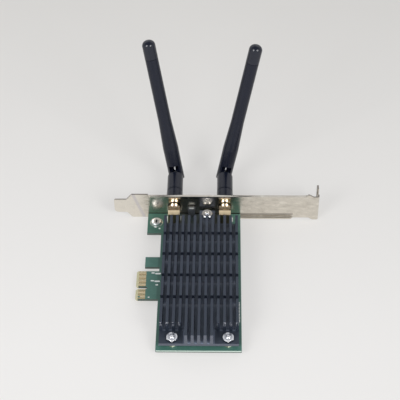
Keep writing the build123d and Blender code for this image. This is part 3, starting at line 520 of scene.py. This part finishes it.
def spacer_material():
    """Plated spacers with painted light on the right-hand flats and painted shade on the left-hand ones."""
    material, tree, surface = shader("spacer_plate", Metallic=0.3)
    cloud = noise(tree, place(tree), 1.5)
    # Right-hand flats painted lit, left-hand flats painted shaded.
    bright = blend_colour(tree, cloud, (0.78, 0.79, 0.62), (0.90, 0.90, 0.76))
    shaded_flats = blend_colour(tree, cloud, (0.20, 0.22, 0.15), (0.30, 0.31, 0.22))
    lit_side = spread(tree, facing(tree)[0], -0.2, 0.3)
    link(tree, blend_colour(tree, lit_side, shaded_flats, bright), surface, "Base Color")
    link(tree, spread(tree, cloud, 0.3, 0.7, 0.35, 0.5), surface, "Roughness")
    return material


def lens_material():
    """Clear epoxy of the lamp, a little milky inside; its paleness in the roof window is partly a painted
    highlight.
    """
    material, tree, surface = shader("clear_epoxy", IOR=1.53)
    cloud = noise(tree, place(tree), 0.9)
    link(tree, blend_colour(tree, cloud, (0.62, 0.66, 0.64), (0.78, 0.81, 0.79)), surface, "Base Color")
    surface.inputs["Transmission Weight"].default_value = 0.55
    link(tree, spread(tree, cloud, 0.3, 0.7, 0.06, 0.14), surface, "Roughness")
    return material


def lead_material(side, hinge_x, swivel_angle):
    """Black coaxial lead with a painted highlight: a pale stripe along it."""
    material, tree, surface = shader(side + "_coax_jacket", Roughness=0.4)
    where = place(tree)
    along, _, height = split(tree, where)
    cloud = noise(tree, where, 0.8)
    level_part = times(tree, minus(tree, along, hinge_x), math.cos(swivel_angle))
    upright_part = times(tree, minus(tree, height, jack_z), math.sin(swivel_angle))
    across = minus(tree, level_part, upright_part)
    # The pale stripe is a painted highlight.
    line = spread(tree, size(tree, across), 0.34, 0.26)
    jacket = blend_colour(tree, cloud, (0.012, 0.012, 0.013), (0.020, 0.020, 0.022))
    link(tree, blend_colour(tree, line, jacket, (0.80, 0.81, 0.83)), surface, "Base Color")
    return material


nut_low, nut_high = limits("heatsink_nuts")
near_nut_y = nut_low.y + NUT_REACH
nut_half_width = NUT_REACH * math.sqrt(0.75)
nut_places = [(nut_low.x + nut_half_width, near_nut_y), (nut_high.x - nut_half_width, near_nut_y), FAR_NUT]
finishes = {
    "board_green": board_material(),
    "contact_gold": contact_material(),
    "bracket_steel": bracket_material(),
    "fastener_steel": metal("zinc_plate", (0.78, 0.79, 0.81), (0.90, 0.91, 0.93), 0.12, 0.22),
    "heatsink_black": heatsink_material(),
    "brass": brass_material(),
    "antenna_black": plastic("satin_black", *ANTENNA_BLACKS, 0.20, 0.28, gloss=0.34),
    "lamp_black": plastic("lamp_holder_black", (0.045, 0.050, 0.056), (0.060, 0.066, 0.072), 0.24, 0.34),
    "lamp_clear": lens_material(),
    "dielectric_white": plastic("dielectric", (0.78, 0.78, 0.74), (0.86, 0.86, 0.82), 0.35, 0.45),
    "chip_black": plastic("moulding_compound", (0.020, 0.020, 0.021), (0.034, 0.034, 0.036), 0.5, 0.65),
    "pad_grey": plastic("gap_pad", (0.24, 0.27, 0.31), (0.31, 0.34, 0.38), 0.7, 0.85, 3.0, 20e-6),
    "capacitor_tan": plastic("fired_ceramic", (0.36, 0.25, 0.15), (0.46, 0.33, 0.21), 0.35, 0.5),
    "can_silver": metal("crystal_can", (0.72, 0.72, 0.71), (0.84, 0.84, 0.83), 0.20, 0.32, (6.0, 0.4, 1.0)),
}
own_finishes = {
    "bracket_screw": screw_material(),
    "heatsink_nuts": nut_material(),
    "heatsink_screws": stud_material(),
    "heatsink_spacers": spacer_material(),
    "left_tip_cap": plastic("cap_black", *ANTENNA_BLACKS, 0.08, 0.14, gloss=0.5),
}
own_finishes["right_tip_cap"] = own_finishes["left_tip_cap"]
for side, (hinge_x, swivel_angle, _) in ANTENNAS.items():
    own_finishes[side + "_radiator"] = lead_material(side, hinge_x, swivel_angle)
for entry in frame["record"]["subparts"]:
    mesh = nodes[entry["node"]].data
    mesh.materials.clear()
    mesh.materials.append(own_finishes.get(entry["node"], finishes[entry["material_slot"]]))


# Print, tinned copper and solder on the board

def disc(x, y, radius, points=20):
    """Outline of a round spot."""
    turns = [2 * math.pi * index / points for index in range(points)]
    return [(x + radius * math.cos(turn), y + radius * math.sin(turn)) for turn in turns]


def dash(x, y, length, width, points=6):
    """Outline of a stroke along X with round ends."""
    turns = [math.pi * (index / points - 0.5) for index in range(points + 1)]
    reach = (length - width) / 2
    right_end = [(x + reach + width / 2 * math.cos(t), y + width / 2 * math.sin(t)) for t in turns]
    left_end = [(x - reach - width / 2 * math.cos(t), y - width / 2 * math.sin(t)) for t in turns]
    return right_end + left_end


def bar(x, y, width, length):
    """Outline of a straight line along Y."""
    return [(x - width / 2, y - length / 2), (x + width / 2, y - length / 2),
            (x + width / 2, y + length / 2), (x - width / 2, y + length / 2)]


def add_piece(name, shape, material, body="card"):
    """An object of the finished mesh that rides on a body."""
    bmesh.ops.recalc_face_normals(shape, faces=shape.faces)
    made_mesh = bpy.data.meshes.new(name)
    shape.to_mesh(made_mesh)
    shape.free()
    made_mesh.materials.append(material)
    made = bpy.data.objects.new(name, made_mesh)
    bpy.context.scene.collection.objects.link(made)
    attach(made, body)


def layer(name, outlines, low_z, high_z, material):
    """A thin layer of separate outlines between two heights."""
    shape = bmesh.new()
    for outline in outlines:
        lower = [shape.verts.new((x * MM, y * MM, low_z * MM)) for x, y in outline]
        upper = [shape.verts.new((x * MM, y * MM, high_z * MM)) for x, y in outline]
        shape.faces.new(lower)
        shape.faces.new(upper)
        for index in range(len(outline)):
            after = (index + 1) % len(outline)
            shape.faces.new((lower[index], lower[after], upper[after], upper[index]))
    add_piece(name, shape, material)


def lathe(name, centres, profile, material, points=24):
    """Rings turned from a closed profile of radius and height round each centre."""
    shape = bmesh.new()
    for x, y in centres:
        turns = [2 * math.pi * index / points for index in range(points)]
        rows = [
            [shape.verts.new(((x + r * math.cos(t)) * MM, (y + r * math.sin(t)) * MM, z * MM)) for t in turns]
            for r, z in profile
        ]
        for row, next_row in zip(rows, rows[1:] + rows[:1]):
            for index in range(points):
                after = (index + 1) % points
                shape.faces.new((row[index], row[after], next_row[after], next_row[index]))
    add_piece(name, shape, material)


def fork_back(side, hinge_x, swivel_angle, tilt_angle, columns=16, arc=6):
    """The closed back of a whip's fork, on the side that never meets the hinge lugs."""
    hinge = Vector((hinge_x, HINGE_Y, jack_z))
    upright = Vector((math.sin(swivel_angle), 0.0, math.cos(swivel_angle)))
    pin_line = Vector((math.cos(swivel_angle), 0.0, -math.sin(swivel_angle)))
    outward = Vector((0.0, 1.0, 0.0))
    whip_line = outward * math.cos(tilt_angle) + upright * math.sin(tilt_angle)
    back = outward * math.sin(tilt_angle) - upright * math.cos(tilt_angle)
    shape = bmesh.new()
    rows = []
    for column in range(columns + 1):
        across = FORK_HALF_GAP * (2 * column / columns - 1)
        reach = math.sqrt(FORK_RADIUS ** 2 - across ** 2)
        outline = [(LUG_CLEARANCE_RADIUS, FORK_FLOOR), (reach, FORK_FLOOR)]
        for step in range(arc + 1):
            depth = reach + (LUG_CLEARANCE_RADIUS - reach) * step / arc
            outline.append((depth, -math.sqrt(FORK_RADIUS ** 2 - depth ** 2)))
        rows.append([
            shape.verts.new((hinge + pin_line * across + back * depth + whip_line * rise) * MM)
            for depth, rise in outline
        ])
    for row, next_row in zip(rows, rows[1:]):
        for index in range(len(row)):
            after = (index + 1) % len(row)
            shape.faces.new((row[index], row[after], next_row[after], next_row[index]))
    shape.faces.new(rows[0])
    shape.faces.new(rows[-1])
    add_piece(side + "_fork_back", shape, finishes["antenna_black"], side + "_rod")


ink = plastic("screen_print", (0.74, 0.78, 0.76), (0.86, 0.89, 0.87), 0.45, 0.6)
tin = metal("tinned_copper", (0.74, 0.75, 0.74), (0.88, 0.89, 0.88), 0.18, 0.30)
solder = metal("solder", (0.62, 0.62, 0.61), (0.78, 0.78, 0.77), 0.22, 0.36)
marks = [dash(x, y, length, width) for x, y, length, width in (
    (-25.5, -47.7, 2.0, 0.9), (-22.7, -48.2, 3.3, 1.1),
    (-25.7, -53.5, 2.0, 0.9), (-23.0, -53.9, 3.1, 1.1), (-23.1, -56.5, 1.6, 0.9),
)]
marks += [bar(x, y, width, length) for x, y, width, length in (
    (-18.9, -6.0, 0.45, 5.4), (-11.0, -5.0, 0.45, 3.6), (10.8, -6.0, 0.45, 3.6), (19.3, -6.0, 0.5, 3.2),
)]
marks += [disc(-27.24, -65.5, 0.5), disc(-25.6, -12.0, 0.72), disc(-23.2, -13.4, 0.58)]
layer("print_marks", marks, 0.0, INK, ink)
ticks = [disc(board_high.x - 1.1, -69.2 - 1.02 * index, 0.34, 12) for index in range(14)]
layer("test_pads", ticks, 0.0, INK, tin)
pad_profile = [(3.35, 0.0), (3.40, 0.05), (3.68, 0.05), (3.75, 0.0)]
lathe("screw_pad", [middle("bracket_screw")], pad_profile, tin, 40)
joint_profile = [(radius, board_low.z - drop) for radius, drop in (
    (1.35, 0.0), (1.0, 0.18), (0.78, 0.55), (0.75, 0.8), (0.3, 0.85), (0.3, 0.0),
)]
legs = []
for side in ("left", "right"):
    low, high = limits(side + "_jack_body")
    for x in (low.x + LEG_INSET, high.x - LEG_INSET):
        legs += [(x, low.y + LEG_INSET), (x, FOOT_REAR_Y - LEG_INSET)]
lathe("leg_solder", legs, joint_profile, solder)

for side, (hinge_x, swivel_angle, tilt_angle) in ANTENNAS.items():
    fork_back(side, hinge_x, swivel_angle, tilt_angle)


# Floor

def floor_material():
    """Pale laminate table top; a little over half of its tone is a glow with painted light falloff, paler towards
    the near left, and nearly half keeps the object's shadow.
    """
    material, tree, surface = shader("table", Roughness=0.6)
    coords = node(tree, "TexCoord").outputs["Object"]
    cloud = noise(tree, coords, 14.0, 4.0)
    link(tree, blend_colour(tree, cloud, (0.735, 0.727, 0.712), (0.765, 0.757, 0.742)), surface, "Base Color")
    sideways, distance = split(tree, node(tree, "NewGeometry").outputs["Position"])[:2]
    # Paler towards the near left and a little dimmer to the right: painted light falloff.
    fade = spread(tree, distance, -0.10, 0.21)
    pale = blend_colour(tree, fade, (0.880, 0.866, 0.853), (0.656, 0.642, 0.616))
    strength = spread(tree, sideways, 0.0, 0.12, 1.0, 0.955)
    glow = node(tree, "Emission", {"Color": pale, "Strength": strength})
    rays = node(tree, "LightPath").outputs
    seen = most(tree, rays["Is Camera Ray"], most(tree, rays["Is Glossy Ray"], rays["Is Transmission Ray"]))
    share = times(tree, seen, 0.55)
    mixed = node(tree, "MixShader", {0: share, 1: surface.outputs[0], 2: glow.outputs[0]})
    tree.links.new(mixed.outputs[0], tree.nodes["Material Output"].inputs["Surface"])
    return material


floor_mesh = bpy.data.meshes.new("floor")
shape = bmesh.new()
bmesh.ops.create_grid(shape, x_segments=1, y_segments=1, size=FLOOR_SIZE / 2)
shape.to_mesh(floor_mesh)
shape.free()
floor_mesh.materials.append(floor_material())
floor = bpy.data.objects.new("floor", floor_mesh)
floor_turn = FLOOR_NORMAL.to_track_quat("Z", "Y").to_matrix().to_4x4()
floor.matrix_world = Matrix.Translation(FLOOR_POINT) @ floor_turn
bpy.context.scene.collection.objects.link(floor)


# Light

def softbox(name, place_mm):
    """A square area lamp that faces the card."""
    lamp = bpy.data.lights.new(name, "AREA")
    lamp.shape = "SQUARE"
    lamp.size = LAMP_SIZE * MM
    lamp.energy = LAMP_WATTS
    made = bpy.data.objects.new(name, lamp)
    made.location = Vector(place_mm) * MM
    aim = (Vector(LAMP_TARGET) - Vector(place_mm)).normalized()
    made.rotation_euler = aim.to_track_quat("-Z", "Y").to_euler()
    bpy.context.scene.collection.objects.link(made)


softbox("lamp_left", (-700.0, -760.0, 740.0))
softbox("lamp_right", (720.0, -760.0, 740.0))

# Room: pale walls, a dimmer ceiling, a far window, and two bright panes far off and two near by
world = bpy.data.worlds.new("room")
bpy.context.scene.world = world
world.use_nodes = True
world_tree = world.node_tree
aside, ahead, above = split(world_tree, node(world_tree, "TexCoord").outputs["Generated"])
front = spread(world_tree, ahead, -0.75, 0.2, 1.0, 0.0)
walls = blend_colour(world_tree, front, (0.64, 0.65, 0.66), (0.86, 0.86, 0.86))
room = blend_colour(world_tree, spread(world_tree, above, 0.35, 0.95), walls, (0.28, 0.28, 0.29))
window = times(world_tree, spread(world_tree, ahead, 0.30, 0.60), spread(world_tree, above, 0.92, 0.78))
room = blend_colour(world_tree, window, room, (0.72, 0.73, 0.75))
pane_aside, pane_ahead, pane_above = PANE_DIRECTION
across = times(world_tree, size(world_tree, aside), pane_aside)
deep = plus(world_tree, times(world_tree, ahead, pane_ahead), times(world_tree, above, pane_above))
panes = spread(world_tree, plus(world_tree, across, deep), 0.94, 0.975)
room = blend_colour(world_tree, panes, room, (1.0, 1.0, 1.03))
near = minus(world_tree, times(world_tree, above, pane_above), times(world_tree, ahead, pane_ahead))
lights = spread(world_tree, plus(world_tree, across, near), 0.965, 0.985)
room = blend_colour(world_tree, lights, room, (1.7, 1.7, 1.7))
background = world_tree.nodes["Background"]
world_tree.links.new(room, background.inputs["Color"])
background.inputs["Strength"].default_value = 1.0


# Camera

forward = Vector((
    math.sin(CAMERA_AZIMUTH) * math.cos(CAMERA_ELEVATION),
    math.cos(CAMERA_AZIMUTH) * math.cos(CAMERA_ELEVATION),
    -math.sin(CAMERA_ELEVATION),
))
level = Vector((math.cos(CAMERA_AZIMUTH), -math.sin(CAMERA_AZIMUTH), 0.0))
rise = level.cross(forward)
right = level * math.cos(CAMERA_ROLL) + rise * math.sin(CAMERA_ROLL)
up = rise * math.cos(CAMERA_ROLL) - level * math.sin(CAMERA_ROLL)
turn = Matrix((right, up, -forward)).transposed().to_4x4()
camera = bpy.data.cameras.new("camera")
camera.sensor_fit = "HORIZONTAL"
camera.sensor_width = SENSOR_WIDTH
camera.lens = SENSOR_WIDTH * FOCAL_PIXELS / IMAGE_WIDTH
camera.clip_start = 0.01
camera.clip_end = 20.0
camera_object = bpy.data.objects.new("camera", camera)
camera_object.matrix_world = Matrix.Translation(CAMERA_PLACE) @ turn
bpy.context.scene.collection.objects.link(camera_object)
bpy.context.scene.camera = camera_object
bpy.context.scene.view_settings.view_transform = "Standard"
